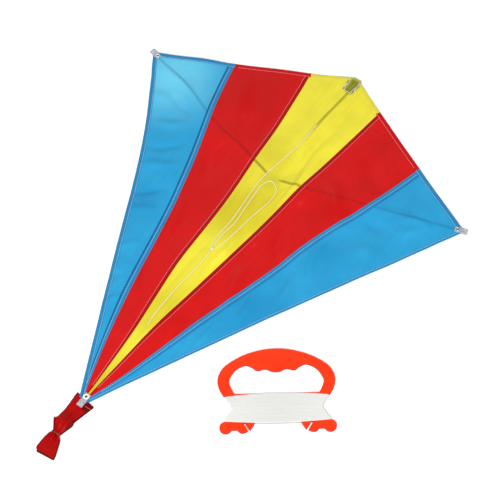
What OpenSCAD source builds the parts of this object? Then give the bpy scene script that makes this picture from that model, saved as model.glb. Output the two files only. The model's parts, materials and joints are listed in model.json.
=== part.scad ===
// Diamond kite with a five-gore sail, a folding cross spar, a two-leg bridle,
// a bundled ribbon tail and a hand winder with its line.
// The kite lies with its front face up. X points to the right wing, Y to the
// nose and Z up. The origin is on the floor under the crossing of the spars.

/* [Sail] */
// Width from wing tip to wing tip
sail_span = 520; // [480:5:600]
// Distance from the spar crossing to the nose
nose_reach = 205; // [190:5:230]
// Distance from the spar crossing to the tail
tail_reach = 420; // [400:5:450]
// How far the wing tips lie forward of the crossing
tip_forward = 79; // [60:1:90]
// Width of the cut end at the nose
nose_width = 12; // [10:1:16]
// Leading-edge width between the two yellow seams
yellow_width = 116; // [90:2:140]
// Leading-edge width between the two blue seams
red_width = 310; // [260:2:340]
// How far the trailing edges curve inwards
trailing_sag = 8; // [2:1:14]
// Thickness of the sail solid
cloth = 0.4; // [0.3:0.1:0.6]
// Half width of the yellow strip that is held by the spine
casing_half = 7; // [6.8:0.1:7.4]

/* [Spars] */
// Diameter of the spine and the spreaders
rod_d = 3; // [2.5:0.1:3.4]
// Outer diameter of the sleeves that hold the rods
sleeve_d = 6; // [5.6:0.2:6.4]
// Distance from the spine to the start of each spreader arm
arm_start = 14; // [13:1:18]
// Length of each spreader arm's socket
arm_length = 30; // [24:1:40]

/* [Corner fittings] */
// Width of the flattened corner tube
tab_width = 8.4; // [7:0.2:9]
// Wall thickness of one flattened layer
tab_thickness = 1.4; // [1:0.1:1.6]
// How far a corner tube stands out past its corner
tab_overhang = 5; // [4:1:12]
// Distance from a wing corner to its eyelet
eyelet_inset = 9; // [8:0.5:11]
// Radius of a wing eyelet's hole
tip_hole_r = 1.3; // [1:0.1:1.6]
// Radius of a wing eyelet's rim
tip_rim_r = 3; // [2.6:0.1:3.4]
// Radius of the tail eyelet's hole
tail_hole_r = 1.9; // [1.5:0.1:2.2]
// Radius of the tail eyelet's rim
tail_rim_r = 4.1; // [3.6:0.1:4.2]
// Width of the clear pocket at the nose
pocket_width = 18; // [14:1:22]
// Length of the clear pocket at the nose
pocket_length = 24; // [18:1:30]

/* [Bridle] */
// Diameter of the bridle line
line_d = 1.4; // [1:0.1:1.8]
// Distance of the upper bridle point ahead of the crossing
upper_point = 108; // [90:2:120]
// Distance of the lower bridle point behind the crossing
lower_point = 281; // [260:2:290]

/* [Tail] */
// Width of the tail ribbon
ribbon_width = 30; // [26:1:32]
// Width of the gathered waist
waist_width = 11; // [9:1:14]
// Height of the folded bow
bow_height = 9; // [6:1:12]

/* [Winder] */
// Width across the grip
winder_width = 152; // [150:1:156]
// Thickness of the moulded plate
plate = 4; // [3:0.5:8]
// Distance of the winder's middle to the right of the spine
winder_x = 193; // [188:1:210]
// Distance of the winder's middle behind the crossing
winder_back = 264; // [255:1:290]
// Angle of the winder's width to the X axis
winder_angle = 37; // [30:1:45]
// Thickness of the wound line over the plate's faces
winding = 2.2; // [1.5:0.1:3]

/* [Hidden] */
$fn = 48;

eps = 0.01;
rod_z = sleeve_d / 2;
sail_z = sleeve_d + 0.2;
sail_top = sail_z + cloth;
rod_fit = 0.05;
hinge_gap = 0.15;
sweep = atan(tip_forward / (sail_span / 2));
tip_distance = norm([sail_span / 2, tip_forward]);
tip_eyelet_at = tip_distance - eyelet_inset;
tail_eyelet_y = -tail_reach + 6.5;
rim_thickness = 0.6;
barrel_wall = 0.4;

// Key corners of the right half of the sail
nose_corner = [nose_width / 2, nose_reach];
tip_corner = [sail_span / 2, tip_forward];
tail_corner = [casing_half + hinge_gap, -tail_reach + 2];
apex = [0, -tail_reach - 4];
red_seam_top = leading_point(red_width / 2);
yellow_seam_top = leading_point(yellow_width / 2);

function barrel_r(hole_r) = hole_r + barrel_wall;
function mix(a, b, t) = a + (b - a) * t;
function leading_point(x) =
    mix(nose_corner, tip_corner, (x - nose_corner[0]) / (tip_corner[0] - nose_corner[0]));
function seam_point(top, x) = mix(apex, top, (x - apex[0]) / (top[0] - apex[0]));
function trailing_point(t) =
    let (along = tail_corner - tip_corner, inward = [-along[1], along[0]] / norm(along))
    mix(tip_corner, tail_corner, t) - inward * trailing_sag * 4 * t * (1 - t);

// ---- Sail ----

module sail_sheet(points) {
    translate([0, 0, sail_z]) linear_extrude(cloth) polygon(points);
}

module cloth_hole(radius) {
    translate([0, 0, sail_z - 1]) cylinder(r = radius, h = cloth + 2);
}

wing_x = casing_half + hinge_gap;
trailing_steps = 10;

module yellow_half() {
    sail_sheet([
        seam_point(yellow_seam_top, wing_x), yellow_seam_top, leading_point(wing_x)
    ]);
}

module red_gore() {
    sail_sheet([
        seam_point(red_seam_top, wing_x), red_seam_top, yellow_seam_top, seam_point(yellow_seam_top, wing_x)
    ]);
}

module blue_gore() {
    difference() {
        sail_sheet(concat(
            [seam_point(red_seam_top, wing_x), red_seam_top],
            [for (i = [0:trailing_steps]) trailing_point(i / trailing_steps)]
        ));
        along_spreader(tip_eyelet_at) cloth_hole(barrel_r(tip_hole_r));
    }
}

module spine_strip() {
    inner = casing_half - hinge_gap;
    difference() {
        sail_sheet([
            [-nose_width / 2 + 0.2, nose_reach], [nose_width / 2 - 0.2, nose_reach], [inner, nose_reach - 1],
            [inner, -tail_reach + 3], [4, -tail_reach], [-4, -tail_reach], [-inner, -tail_reach + 3],
            [-inner, nose_reach - 1]
        ]);
        translate([0, tail_eyelet_y, 0]) cloth_hole(barrel_r(tail_hole_r));
        for (y = [upper_point, -lower_point]) translate([0, y, 0]) cloth_hole(line_d / 2 + 0.3);
    }
}

module left_blue_gore() { color("deepskyblue") mirror([1, 0, 0]) blue_gore(); }
module right_blue_gore() { color("deepskyblue") blue_gore(); }
module left_red_gore() { color("crimson") mirror([1, 0, 0]) red_gore(); }
module right_red_gore() { color("crimson") red_gore(); }
module left_yellow_gore() { color("yellow") mirror([1, 0, 0]) yellow_half(); }
module right_yellow_gore() { color("yellow") yellow_half(); }
module spine_casing() { color("yellow") spine_strip(); }

// ---- Spars and their joint ----

// Places children on the right spreader's line, with their X axis along it
module along_spreader(distance) {
    rotate([0, 0, sweep]) translate([distance, 0, 0]) children();
}

module rod(length, radius) {
    rotate([0, 90, 0]) cylinder(r = radius, h = length);
}

sleeve_length = 20;
sleeve_plug = 2;
rod_end_gap = 0.2;
tip_sleeve_from = 6;
tail_sleeve_from = 10;
spine_front = nose_reach - 5;
spine_back = tail_eyelet_y + tail_sleeve_from + sleeve_plug + rod_end_gap;
spreader_start = arm_start + 6;
spreader_end = tip_eyelet_at - tip_sleeve_from - sleeve_plug - rod_end_gap;

module spine_rod() {
    color("dimgray") translate([0, spine_back, rod_z]) rotate([-90, 0, 0])
        cylinder(d = rod_d, h = spine_front - spine_back);
}

module half_spreader() {
    along_spreader(spreader_start) translate([0, 0, rod_z]) rod(spreader_end - spreader_start, rod_d / 2);
}

module left_spreader_rod() { color("dimgray") mirror([1, 0, 0]) half_spreader(); }
module right_spreader_rod() { color("dimgray") half_spreader(); }

joint_length = 26;
joint_half = 5.5;

module cross_joint() {
    color("black") difference() {
        union() {
            translate([-joint_half, -joint_length / 2, 0]) cube([2 * joint_half, joint_length, sleeve_d]);
            for (end = [-1, 1])
                translate([0, end * joint_length / 2, 0]) cylinder(r = joint_half, h = sleeve_d);
        }
        translate([0, -joint_length, rod_z]) rotate([-90, 0, 0])
            cylinder(r = rod_d / 2 + rod_fit, h = 2 * joint_length);
    }
}

module joint_arm() {
    along_spreader(arm_start + 1) difference() {
        translate([0, 0, rod_z]) rod(arm_length, sleeve_d / 2);
        translate([spreader_start - arm_start - 1, 0, rod_z]) rod(arm_length, rod_d / 2 + rod_fit);
    }
}

module left_joint_arm() { color("black") mirror([1, 0, 0]) joint_arm(); }
module right_joint_arm() { color("black") joint_arm(); }

// ---- Corner fittings ----

tab_top = sail_top + tab_thickness;
tab_bottom = sail_z - tab_thickness;

// A clear tube folded round a corner. X points outwards and x = 0 is the eyelet.
// Its top layer lies on the sail, its lower layer under it, and a round sleeve
// behind the lower layer takes the rod.
module corner_tube(outer, inner, sleeve_from, hole_r) {
    bend_z = sail_z + cloth / 2;
    bend_r = tab_thickness + cloth / 2;
    layer = [outer + inner - bend_r, tab_width, tab_thickness];
    difference() {
        union() {
            translate([-inner, -tab_width / 2, sail_top]) cube(layer);
            translate([-inner, -tab_width / 2, tab_bottom]) cube(layer);
            translate([outer - bend_r, tab_width / 2, bend_z]) rotate([90, 0, 0]) difference() {
                cylinder(r = bend_r, h = tab_width);
                translate([0, 0, -1]) cylinder(r = cloth / 2, h = tab_width + 2);
                translate([-bend_r - 1, -bend_r - 1, -1]) cube([bend_r + 1, 2 * bend_r + 2, tab_width + 2]);
            }
            hull() {
                translate([-inner, -tab_width / 2, tab_bottom]) cube([1, tab_width, tab_thickness]);
                translate([-sleeve_from, 0, rod_z]) rotate([0, 90, 0])
                    cylinder(d = sleeve_d, h = 1, $fn = 32);
            }
            translate([-sleeve_from - sleeve_length, 0, rod_z]) rod(sleeve_length + eps, sleeve_d / 2);
        }
        translate([0, 0, -1]) cylinder(r = hole_r, h = sail_top + 10);
        translate([-sleeve_from - sleeve_length - 1, 0, rod_z])
            rod(sleeve_length + 1 - sleeve_plug, rod_d / 2 + rod_fit);
    }
}

tip_inner = 4;
tip_outer = eyelet_inset + tab_overhang;
tail_inner = 5;
tail_outer = 16;

module tip_tube() {
    along_spreader(tip_eyelet_at) corner_tube(tip_outer, tip_inner, tip_sleeve_from, barrel_r(tip_hole_r));
}

module left_tip_tube() { color("gainsboro") mirror([1, 0, 0]) tip_tube(); }
module right_tip_tube() { color("gainsboro") tip_tube(); }
module tail_tube() {
    color("gainsboro") translate([0, tail_eyelet_y, 0]) rotate([0, 0, -90])
        corner_tube(tail_outer, tail_inner, tail_sleeve_from, barrel_r(tail_hole_r));
}

// A rolled ring on the front tab with a barrel down through the corner
module eyelet(hole_r, rim_r) {
    roll = rim_thickness / 3;
    rotate_extrude() polygon([
        [hole_r, tab_bottom - rim_thickness], [barrel_r(hole_r), tab_bottom - rim_thickness],
        [barrel_r(hole_r), tab_top], [rim_r, tab_top], [rim_r, tab_top + roll],
        [rim_r - roll, tab_top + rim_thickness], [hole_r + roll, tab_top + rim_thickness],
        [hole_r, tab_top + roll]
    ]);
}

module washer(hole_r, rim_r) {
    translate([0, 0, tab_bottom - rim_thickness]) difference() {
        cylinder(r = rim_r, h = rim_thickness);
        translate([0, 0, -1]) cylinder(r = barrel_r(hole_r), h = rim_thickness + 2);
    }
}

module tip_eyelet() { along_spreader(tip_eyelet_at) eyelet(tip_hole_r, tip_rim_r); }
module tip_washer() { along_spreader(tip_eyelet_at) washer(tip_hole_r, tip_rim_r); }
module left_tip_eyelet() { color("silver") mirror([1, 0, 0]) tip_eyelet(); }
module right_tip_eyelet() { color("silver") tip_eyelet(); }
module left_tip_washer() { color("silver") mirror([1, 0, 0]) tip_washer(); }
module right_tip_washer() { color("silver") tip_washer(); }
module tail_eyelet() { color("ivory") translate([0, tail_eyelet_y, 0]) eyelet(tail_hole_r, tail_rim_r); }
module tail_washer() { color("ivory") translate([0, tail_eyelet_y, 0]) washer(tail_hole_r, tail_rim_r); }

// A clear pocket folded over the nose, open towards the spine
pocket_skin = 0.8;
pocket_over = 2;
pocket_gap = 0.3;
module nose_pocket() {
    front = nose_reach + pocket_over;
    color("palegoldenrod") difference() {
        union() {
            translate([-pocket_width / 2, front - pocket_length, sail_top + pocket_gap])
                cube([pocket_width, pocket_length, pocket_skin]);
            translate([-joint_half, front - pocket_length, 0])
                cube([2 * joint_half, pocket_length, sail_z - 0.1]);
            translate([-pocket_width / 2, nose_reach + 0.2, 0])
                cube([pocket_width, pocket_over - 0.2, sail_top + pocket_gap + pocket_skin]);
        }
        translate([0, front - pocket_length - 1, rod_z]) rotate([-90, 0, 0])
            cylinder(r = rod_d / 2 + rod_fit, h = spine_front - front + pocket_length + 1);
    }
}

// ---- Bridle ----

line_r = line_d / 2;
line_z = sail_top + 0.1 + line_r;
knot_r = 2.2;
knot_y = -140;
knot_z = sail_top + 0.1 + knot_r;
tie_line = 1.2;

// Routes of the lines where they lie on the sail
upper_route = [
    [0, upper_point], [-1, 68], [-7, 24], [-11, -8], [-10, -34], [-7, -62], [-5, -92], [-6, -116],
    [-5, -130], [-2, -138.5]
];
lower_route = [
    [0, -142], [1, -154], [0.5, -172], [0, -190], [-2, -206], [-2.5, -244], [-2, -266], [0, -lower_point]
];
tow_route = [
    [-0.5, -136], [-1, -124], [-1.5, -112], [1, -88], [-1.5, -60], [-4, -32], [-4.5, -18], [0.5, -6],
    [10, -7], [17, -15], [19.5, -32], [16.5, -52], [13, -74], [11, -96], [8, -118], [6, -131], [2.8, -137]
];

// A point on the smooth curve between the second and third of four route points
function curve(a, b, c, d, t) =
    (2 * b + (c - a) * t + (2 * a - 5 * b + 4 * c - d) * t * t + (3 * b - a - 3 * c + d) * t * t * t) / 2;
function smooth(route, steps) =
    let (last = len(route) - 1)
    concat(
        [for (i = [0:last - 1], k = [0:steps - 1])
            curve(route[max(i - 1, 0)], route[i], route[i + 1], route[min(i + 2, last)], k / steps)],
        [route[last]]
    );
function heading(path, i) =
    let (ahead = path[min(i + 1, len(path) - 1)] - path[max(i - 1, 0)])
    ahead / norm(ahead);

// A round line that follows a flat path, swept as rings of eight corners
module line_sweep(path, z) {
    sides = 8;
    count = len(path);
    points = [
        for (i = [0:count - 1], s = [0:sides - 1])
            let (along = heading(path, i), turn = 360 * (s + 0.5) / sides)
            [
                path[i][0] - along[1] * line_r * cos(turn),
                path[i][1] + along[0] * line_r * cos(turn),
                z + line_r * sin(turn)
            ]
    ];
    side_faces = [
        for (i = [0:count - 2], s = [0:sides - 1])
            let (next = (s + 1) % sides)
            [i * sides + s, i * sides + next, (i + 1) * sides + next, (i + 1) * sides + s]
    ];
    start_face = [for (s = [0:sides - 1]) sides - 1 - s];
    end_face = [for (s = [0:sides - 1]) (count - 1) * sides + s];
    polyhedron(points, concat(side_faces, [start_face, end_face]));
}

// A turn of line round the spine with a stem through the sail
module bridle_tie(y) {
    inner_r = rod_d / 2 + rod_fit;
    difference() {
        union() {
            translate([0, y + tie_line / 2, rod_z]) rotate([90, 0, 0])
                cylinder(r = inner_r + tie_line, h = tie_line);
            translate([0, y, rod_z]) cylinder(d = tie_line - 0.1, h = line_z - line_r - rod_z);
        }
        translate([0, y + tie_line, rod_z]) rotate([90, 0, 0]) cylinder(r = inner_r, h = 2 * tie_line);
    }
}

module upper_bridle_tie() { color("white") bridle_tie(upper_point); }
module lower_bridle_tie() { color("white") bridle_tie(-lower_point); }
module upper_bridle_leg() { color("white") line_sweep(smooth(upper_route, 3), line_z); }
module lower_bridle_leg() { color("white") line_sweep(smooth(lower_route, 2), line_z); }
module tow_loop() { color("white") line_sweep(smooth(tow_route, 2), line_z); }

module bridle_knot() {
    color("white") difference() {
        translate([0, knot_y, knot_z]) sphere(r = knot_r);
        for (end = [upper_route[len(upper_route) - 1], lower_route[0]])
            translate([end[0], end[1], 0]) cylinder(r = line_r + 0.3, h = line_z + line_r + 0.1);
    }
}

// ---- Tail ----

ribbon_layers = 0.9;
ribbon_top = -tail_reach + 6.5;
ribbon_end = -tail_reach - 36;
waist_y = -tail_reach - 55;
bow_end = -tail_reach - 90;
waist_x = 0.5;
waist_inset = 1.3;
band_length = 3.2;
band_knob_r = 1.5;

module tail_ribbon() {
    half = ribbon_width / 2;
    color("red") linear_extrude(ribbon_layers) polygon([
        [-half, ribbon_top], [half, ribbon_top - 1], [half - 6, ribbon_end + 3],
        [half - 7, ribbon_end], [-half - 3, ribbon_end]
    ]);
}

module tail_tie() {
    color("pink") translate([-ribbon_width / 2 + 1, -tail_reach - 4, ribbon_layers + 0.5])
        rotate([0, 90, 0]) cylinder(d = 0.9, h = ribbon_width);
}

module tail_bow() {
    neck = band_length / 2 + 0.2;
    half = waist_width / 2;
    color("firebrick") union() {
        linear_extrude(bow_height) polygon([
            [-17.5, ribbon_end - 0.1], [9.5, ribbon_end - 0.1],
            [waist_x + half, waist_y + neck], [waist_x - half, waist_y + neck]
        ]);
        linear_extrude(bow_height) polygon([
            [waist_x - half, waist_y - neck], [waist_x + half, waist_y - neck],
            [20.5, bow_end + 4], [-7, bow_end]
        ]);
        translate([waist_x - half + waist_inset, waist_y - neck - eps, waist_inset])
            cube([waist_width - 2 * waist_inset, 2 * neck + 2 * eps, bow_height - 2 * waist_inset]);
    }
}

module tail_band() {
    color("sienna") difference() {
        union() {
            translate([waist_x - waist_width / 2, waist_y - band_length / 2, 0.1])
                cube([waist_width, band_length, bow_height - 0.2]);
            translate([waist_x - waist_width / 2, waist_y, bow_height / 2 - band_knob_r])
                cylinder(r = band_knob_r, h = 2 * band_knob_r);
        }
        translate([waist_x - waist_width / 2 + waist_inset - 0.1, waist_y - band_length, waist_inset - 0.1])
            cube([waist_width - 2 * waist_inset + 0.2, 2 * band_length, bow_height - 2 * waist_inset + 0.2]);
    }
}

// ---- Winder ----

spool_top = -4;
spool_bottom = -44;
notch_middle = -24.6;
grip_bottom = -7;
foot_top = -42.3;
slit = 2.6;
winding_fit = 0.1;

module in_winder_place() {
    translate([winder_x, -winder_back, winding]) rotate([0, 0, winder_angle]) children();
}

// Outline points of the right half, followed by their mirror images
function both_sides(half) = concat(half, [for (i = [len(half) - 1:-1:0]) [-half[i][0], half[i][1]]]);

grip_outer = both_sides([
    [68, grip_bottom], [73, 2], [winder_width / 2, 14], [73.5, 26],
    [65.5, 37.5], [47, 50], [28, 57.5], [9, 61.2]
]);
grip_inner = both_sides([
    [53, -6], [57, 1], [61, 13], [58, 23], [51, 32.5],
    [39.5, 38.2], [31, 35], [24, 30.2], [13.3, 32.2], [5, 28.5]
]);

// The spool under the line, with V-shaped sides
module spool_outline(edge, top, bottom) {
    polygon(both_sides([
        [66 + edge, top], [66 + edge, -8], [56.5 + edge, notch_middle], [65 + edge, -41], [65 + edge, bottom]
    ]));
}

// One lobed foot with a slit that holds the line's end
module foot_outline() {
    difference() {
        union() {
            translate([66.6, -51.6]) circle(r = 8.2);
            translate([45, -52]) circle(r = 7.5);
            polygon([
                [29, foot_top], [30.5, -48], [35.5, -56.2], [45, -59.4],
                [52, -55], [58, -55], [66.6, -57], [66.6, foot_top]
            ]);
        }
        translate([39.6, -52.5]) rotate(60) square([16, slit], center = true);
        translate([20, foot_top]) square([60, 20]);
    }
}

module winder_plate() {
    color("orangered") in_winder_place() union() {
        linear_extrude(plate) difference() {
            polygon(smooth(grip_outer, 5));
            polygon(smooth(grip_inner, 5));
        }
        linear_extrude(plate) spool_outline(0, spool_top, spool_bottom);
        for (side = [0, 1]) mirror([side, 0, 0]) linear_extrude(plate) foot_outline();
    }
}

winding_outline = both_sides([
    [34, -46.2], [67, -42.1], [57.8 + winding / 4, notch_middle], [68, -8.8], [38, -4.6]
]);

module wound_line() {
    color("white") in_winder_place() difference() {
        translate([0, 0, -winding]) linear_extrude(plate + 2 * winding) polygon(winding_outline);
        translate([0, 0, -winding_fit]) linear_extrude(plate + 2 * winding_fit)
            spool_outline(winding_fit, 10, -60);
    }
}

left_blue_gore();
left_red_gore();
left_yellow_gore();
spine_casing();
right_yellow_gore();
right_red_gore();
right_blue_gore();
spine_rod();
left_spreader_rod();
right_spreader_rod();
cross_joint();
left_joint_arm();
right_joint_arm();
nose_pocket();
left_tip_tube();
right_tip_tube();
tail_tube();
left_tip_eyelet();
right_tip_eyelet();
tail_eyelet();
left_tip_washer();
right_tip_washer();
tail_washer();
upper_bridle_tie();
lower_bridle_tie();
upper_bridle_leg();
lower_bridle_leg();
bridle_knot();
tow_loop();
tail_ribbon();
tail_bow();
tail_band();
tail_tie();
winder_plate();
wound_line();
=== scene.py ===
import json
import math

import bmesh
import bpy
import numpy as np
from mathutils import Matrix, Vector


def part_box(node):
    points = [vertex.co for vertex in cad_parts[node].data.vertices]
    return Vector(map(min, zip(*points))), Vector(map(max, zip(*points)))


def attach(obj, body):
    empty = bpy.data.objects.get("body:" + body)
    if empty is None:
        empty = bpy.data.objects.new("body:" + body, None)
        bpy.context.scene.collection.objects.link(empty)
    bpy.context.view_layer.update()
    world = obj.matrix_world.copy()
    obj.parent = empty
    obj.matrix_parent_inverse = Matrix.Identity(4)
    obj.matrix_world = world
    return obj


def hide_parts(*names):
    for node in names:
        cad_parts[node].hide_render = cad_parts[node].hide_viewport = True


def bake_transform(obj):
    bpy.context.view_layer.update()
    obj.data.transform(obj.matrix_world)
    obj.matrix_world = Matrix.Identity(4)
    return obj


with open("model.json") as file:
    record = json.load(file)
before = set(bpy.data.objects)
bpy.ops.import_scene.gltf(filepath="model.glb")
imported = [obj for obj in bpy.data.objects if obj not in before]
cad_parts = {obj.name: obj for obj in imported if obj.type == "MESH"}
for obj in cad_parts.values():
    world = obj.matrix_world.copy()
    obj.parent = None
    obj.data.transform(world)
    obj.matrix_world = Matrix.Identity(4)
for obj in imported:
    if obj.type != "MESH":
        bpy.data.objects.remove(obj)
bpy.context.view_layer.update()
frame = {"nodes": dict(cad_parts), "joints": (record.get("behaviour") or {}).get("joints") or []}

MM = 0.001
WINGS = {-1: "left", 1: "right"}


def link(name, data):
    """A new piece in the scene, with its own mesh or curve."""
    piece = bpy.data.objects.new(name, data)
    bpy.context.scene.collection.objects.link(piece)
    return piece


# ---------------------------------------------------------------- camera

view_azimuth = math.radians(35.4)
view_elevation = math.radians(58.1)
view_distance = 2.813
view_target = Vector((0.040, -0.108, 0.0))


def add_camera():
    data = bpy.data.cameras.new("camera")
    data.sensor_width = 36
    data.lens = 151.2
    camera = link("camera", data)
    back = Vector((
        math.sin(view_azimuth) * math.cos(view_elevation),
        -math.cos(view_azimuth) * math.cos(view_elevation),
        math.sin(view_elevation),
    ))
    camera.location = view_target + back * view_distance
    camera.rotation_euler = back.to_track_quat("Z", "Y").to_euler()
    bpy.context.scene.camera = camera


add_camera()

# ---------------------------------------------------------------- the sail's flat shape, in metres

nose_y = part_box("spine_casing")[1].y
tail_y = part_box("spine_casing")[0].y
nose_half = 0.006
eyelet_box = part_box("right_tip_eyelet")
eyelet_middle = (eyelet_box[0] + eyelet_box[1]) / 2
sweep = math.atan2(eyelet_middle.y, eyelet_middle.x)
tip_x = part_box("right_blue_gore")[1].x
tip = np.array([tip_x, tip_x * math.tan(sweep)])
tail_corner = np.array([0.00715, tail_y + 0.002])
apex = np.array([0.0, tail_y - 0.004])
yellow_top_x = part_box("right_yellow_gore")[1].x
red_top_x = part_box("right_red_gore")[1].x
cloth_z = (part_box("spine_casing")[0].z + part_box("spine_casing")[1].z) / 2
cloth_t = 0.25 * MM


def leading_point(x):
    """The point of the leading edge at x, on the right half."""
    x = np.asarray(x, float)
    slope = (nose_y - tip[1]) / (tip[0] - nose_half)
    return np.stack([x, nose_y - np.maximum(x - nose_half, 0) * slope], -1)


# How far each trailing edge curves in, in millimetres, from the tip (0) to the tail (1)
trailing_curve = {
    -1: ([0, 0.1, 0.22, 0.28, 0.35, 0.45, 0.59, 0.81, 1], [0, 5, 10, 11.6, 10.6, 8.8, 5.2, 2, 0]),
    1: ([0, 0.1, 0.3, 0.47, 0.6, 0.75, 0.9, 1], [0, 1, 3.6, 4.2, 4.6, 3.4, 2.4, 0]),
}


def trailing_point(side, t):
    """A point of the trailing edge, as if on the right half, from the tip (0) to the tail (1)."""
    t = np.asarray(t, float)
    along = tail_corner - tip
    inward = np.array([along[1], -along[0]]) / np.linalg.norm(along)
    places, depths = trailing_curve[side]
    depth = np.interp(t, places, depths)
    for shift in (-0.05, 0.05, -0.09, 0.09):
        depth = depth + np.interp(np.clip(t + shift, 0, 1), places, depths)
    depth = depth / 5 * np.minimum(1, np.minimum(t, 1 - t) * 14)
    return tip + along * t[..., None] + inward * (depth * MM)[..., None]


# How far each seam strays outwards, in millimetres, from the tail (0) to the leading edge (1)
seam_stray = {
    (-1, "yellow"): (
        [0, 0.08, 0.2, 0.4, 0.5, 0.58, 0.84, 0.94, 1], [0, -1.6, -3, 2, -2, -4.8, -4.8, -2.2, 0]),
    (-1, "red"): (
        [0, 0.05, 0.2, 0.35, 0.45, 0.56, 0.68, 0.8, 0.9, 1], [0, 2, 5.3, 3.5, -0.6, -4.4, -4.2, -0.7, 2, 0]),
    (1, "yellow"): ([0, 0.09, 0.23, 0.37, 0.60, 0.72, 0.88, 1], [0, -2, -6, -4, -2, -3.5, -0.5, 0]),
    (1, "red"): ([0, 0.10, 0.20, 0.32, 0.55, 0.66, 0.73, 0.82, 1], [0, 2.5, 0, -3.5, -2, -7, -5, 0.5, 0]),
}


def sail_width(y):
    """Half width of the sail at y, without the curve of its edges."""
    behind = tail_corner[0] + (y - tail_corner[1]) / (tip[1] - tail_corner[1]) * (tip[0] - tail_corner[0])
    ahead = nose_half + (nose_y - y) / (nose_y - tip[1]) * (tip[0] - nose_half)
    return np.maximum(np.minimum(behind, ahead), 1 * MM)


def stray(side, points):
    """Moves flat points of the right half sideways with the seams that stray on that side."""
    points = np.array(points, float)
    x, y = points[..., 0], points[..., 1]
    none = np.zeros_like(y)
    places, shifts = [none], [none]
    for kind, top_x in (("yellow", yellow_top_x), ("red", red_top_x)):
        top = leading_point(top_x)
        share = np.clip((y - apex[1]) / (top[1] - apex[1]), 0, 1)
        marks, amounts = seam_stray[side, kind]
        nearby = [np.clip(share + shift, 0, 1) for shift in (-0.03, 0, 0.03)]
        amount = np.mean([np.interp(place, marks, amounts) for place in nearby], axis=0)
        places.append(apex[0] + (top[0] - apex[0]) * share)
        shifts.append(amount * np.minimum(1, np.minimum(share, 1 - share) * 25) * MM)
    places.append(np.maximum(sail_width(y), places[-1] + 2 * MM))
    shifts.append(none)
    moved = x.copy()
    for low, high, start, end in zip(places, places[1:], shifts, shifts[1:]):
        part = np.clip((x - low) / np.maximum(high - low, 1e-6), 0, 1)
        inside = (x >= low) & ((x < high) | (high is places[-1]))
        moved = np.where(inside, x + start + (end - start) * part, moved)
    points[..., 0] = moved
    return points


# ---------------------------------------------------------------- how the cloth lies

fold_strength = 2.2
fold_width = 0.8
# Each fold runs between two points, in millimetres, with its width and height
folds = [
    # left blue
    (-244, 72, -160, 46, 7, 1.0), (-232, 92, -170, 118, 16, 1.2), (-228, 10, -186, 40, 12, 1.3),
    (-204, 30, -150, 28, 9, -1.2), (-190, -20, -146, 12, 8, 1.2), (-176, -56, -128, -22, 8, -1.3),
    (-166, -92, -116, -50, 10, 1.3), (-150, -128, -104, -96, 8, -1.1), (-136, -160, -96, -128, 9, 1.0),
    (-112, -212, -82, -184, 8, 0.8), (-92, -262, -66, -228, 7, -0.7), (-74, -300, -52, -262, 6, 0.7),
    # left red
    (-132, 128, -96, 40, 18, 0.9), (-104, 4, -70, -56, 14, -1.0), (-120, -30, -88, -96, 12, 0.9),
    (-84, -96, -56, -170, 11, 0.9), (-70, -190, -44, -262, 8, -0.6), (-60, 110, -52, 30, 16, -0.8),
    # yellow
    (28, 60, 34, -52, 5, 1.2), (14, 86, 17, -28, 9, -0.9), (-24, 20, -21, -96, 9, 0.8),
    (17, -90, 13, -190, 6, 0.7), (-15, -120, -11, -232, 6, -0.7), (9, -214, 6, -300, 4, 0.6),
    (25, 112, 20, 0, 3.2, -0.9), (22, 6, 20, -70, 4, 0.6),
    (40, 150, 30, 60, 12, 0.8), (-34, 150, -28, 60, 12, -0.6),
    # right red
    (66, 44, 112, -6, 13, 1.0), (88, 104, 128, 66, 16, -0.9), (56, -58, 84, -112, 11, -1.0),
    (50, -134, 66, -210, 9, 0.9), (104, 20, 124, -40, 14, 0.8), (36, -216, 44, -290, 6, -0.6),
    # right blue
    (226, 58, 168, 50, 7, 1.2), (190, 26, 220, 56, 9, 1.3), (132, 28, 176, 12, 12, -1.0),
    (112, -44, 128, -104, 8, 1.4), (146, -34, 190, -14, 13, 1.0), (96, -92, 108, -160, 8, -1.1),
    (84, -150, 92, -214, 7, 0.9), (66, -212, 72, -280, 6, 0.8), (206, 92, 236, 70, 8, -0.8),
]


def fold_heights(x, y):
    total = np.zeros_like(x)
    for ax, ay, bx, by, width, height in folds:
        length = math.hypot(bx - ax, by - ay)
        ux, uy = (bx - ax) / length, (by - ay) / length
        px, py = x / MM - ax, y / MM - ay
        along = (px * ux + py * uy) / length
        across = (-px * uy + py * ux) + 2.5 * np.sin(along * 5 + ax)
        ends = np.clip(np.sin(np.pi * np.clip(along * 0.8 + 0.1, 0, 1)), 0, 1) ** 1.5
        total += height * np.exp(-((across / (width * fold_width)) ** 2)) * ends
    return total * fold_strength * MM


def spreader_distance(x, y):
    """How far a point lies from the line of the spreader on its side."""
    return np.abs(np.abs(x) * math.sin(sweep) - y * math.cos(sweep))


def near(distance, reach):
    """1 at no distance, falling to 0 past reach."""
    return np.exp(-((distance / reach) ** 2))


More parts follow.
